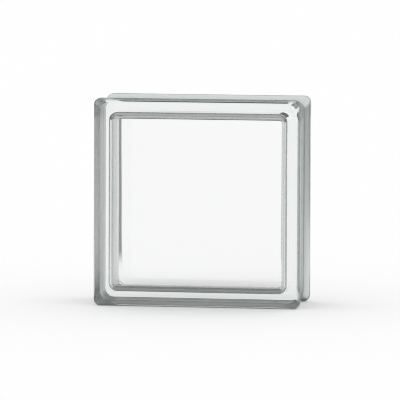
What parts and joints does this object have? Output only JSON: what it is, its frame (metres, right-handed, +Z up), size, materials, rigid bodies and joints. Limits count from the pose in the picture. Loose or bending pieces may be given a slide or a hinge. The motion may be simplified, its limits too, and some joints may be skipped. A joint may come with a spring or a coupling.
{
  "type": "glass block",
  "caption": "Square hollow glass building block with smooth clear faces, rounded flanges and a mortar channel round its edge.",
  "frame": {"origin": "middle of the underside, midway between the two faces", "axes": "+Z up as the block stands, +Y from the front face to the back face, +X to the right seen from the front"},
  "size_m": [0.19, 0.08, 0.19],
  "materials": {
    "clear_glass": "clear and fire polished on the faces and inside, satin on the flange edges and in the channel"
  },
  "bodies": {
    "root": {"glass_block": "clear_glass"}
  },
  "joints": []
}
